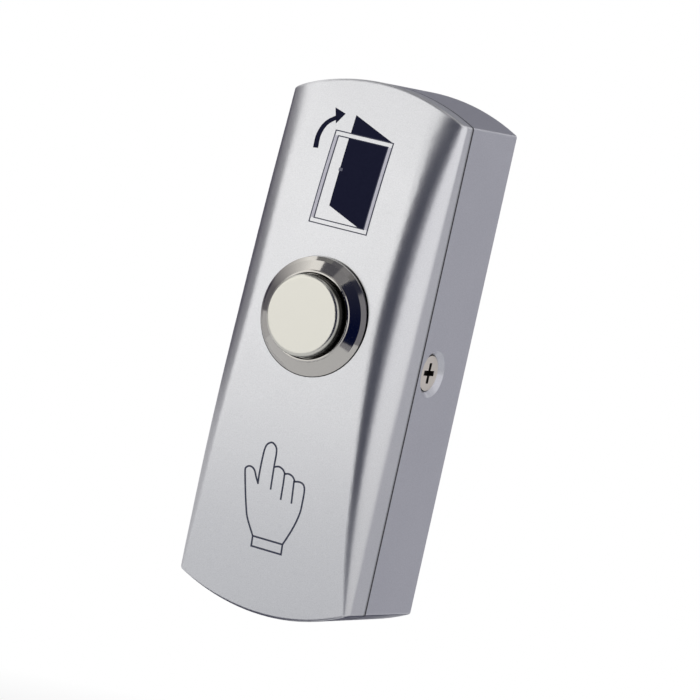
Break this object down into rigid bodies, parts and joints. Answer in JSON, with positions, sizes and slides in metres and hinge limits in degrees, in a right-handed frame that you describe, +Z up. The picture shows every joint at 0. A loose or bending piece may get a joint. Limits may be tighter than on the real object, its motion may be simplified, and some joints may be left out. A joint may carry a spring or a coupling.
{
  "type": "door exit button",
  "caption": "narrow surface-mounted request-to-exit button: cast back box, sculpted silver cover and a round metal push button that works a normally open contact",
  "frame": {"origin": "middle of the flat back of the box, where it lies on the wall", "axes": "+X to the right when facing the button, +Y into the wall, +Z up along the length of the body"},
  "size_m": [0.0304, 0.0271, 0.083],
  "materials": {
    "silver_cover": "satin silver metallic paint on die-cast zinc",
    "silver_box": "satin silver metallic paint on die-cast zinc",
    "bezel_chrome": "bright plated brass",
    "cap_steel": "fine satin face",
    "screw_steel": "plain bright steel",
    "inner_steel": "plain",
    "inner_brass": "plain",
    "contact_silver": "silver alloy contact",
    "black_plastic": "moulded thermosetting plastic",
    "seal_rubber": "moulded rubber"
  },
  "bodies": {
    "case": {"front_cover": "silver_cover", "back_box": "silver_box", "cover_screws": "screw_steel", "button_housing": "bezel_chrome", "flange_seal": "seal_rubber", "lock_washer": "inner_steel", "mounting_nut": "inner_brass", "return_spring": "inner_steel", "switch_housing": "black_plastic", "switch_base": "black_plastic", "open_terminal": "inner_brass", "common_terminal": "inner_brass", "fixed_contacts": "contact_silver", "terminal_screws": "inner_steel", "wire_clamps": "inner_steel", "base_screws": "inner_steel", "cable_grommet": "seal_rubber"},
    "button": {"button_cap": "cap_steel", "cap_seal": "seal_rubber", "plunger_rod": "inner_steel", "retaining_clip": "inner_steel", "contact_spring": "inner_steel", "contact_bridge": "inner_brass", "bridge_contacts": "contact_silver", "bridge_retainer": "inner_steel"}
  },
  "joints": [
    {"name": "button_press", "type": "slide", "parent": "case", "child": "button", "axis": [0, 1, 0], "range_m": [0, 0.0018], "stiffness_N_per_m": 700, "springref_m": -0.003, "deforming": ["return_spring"]}
  ]
}
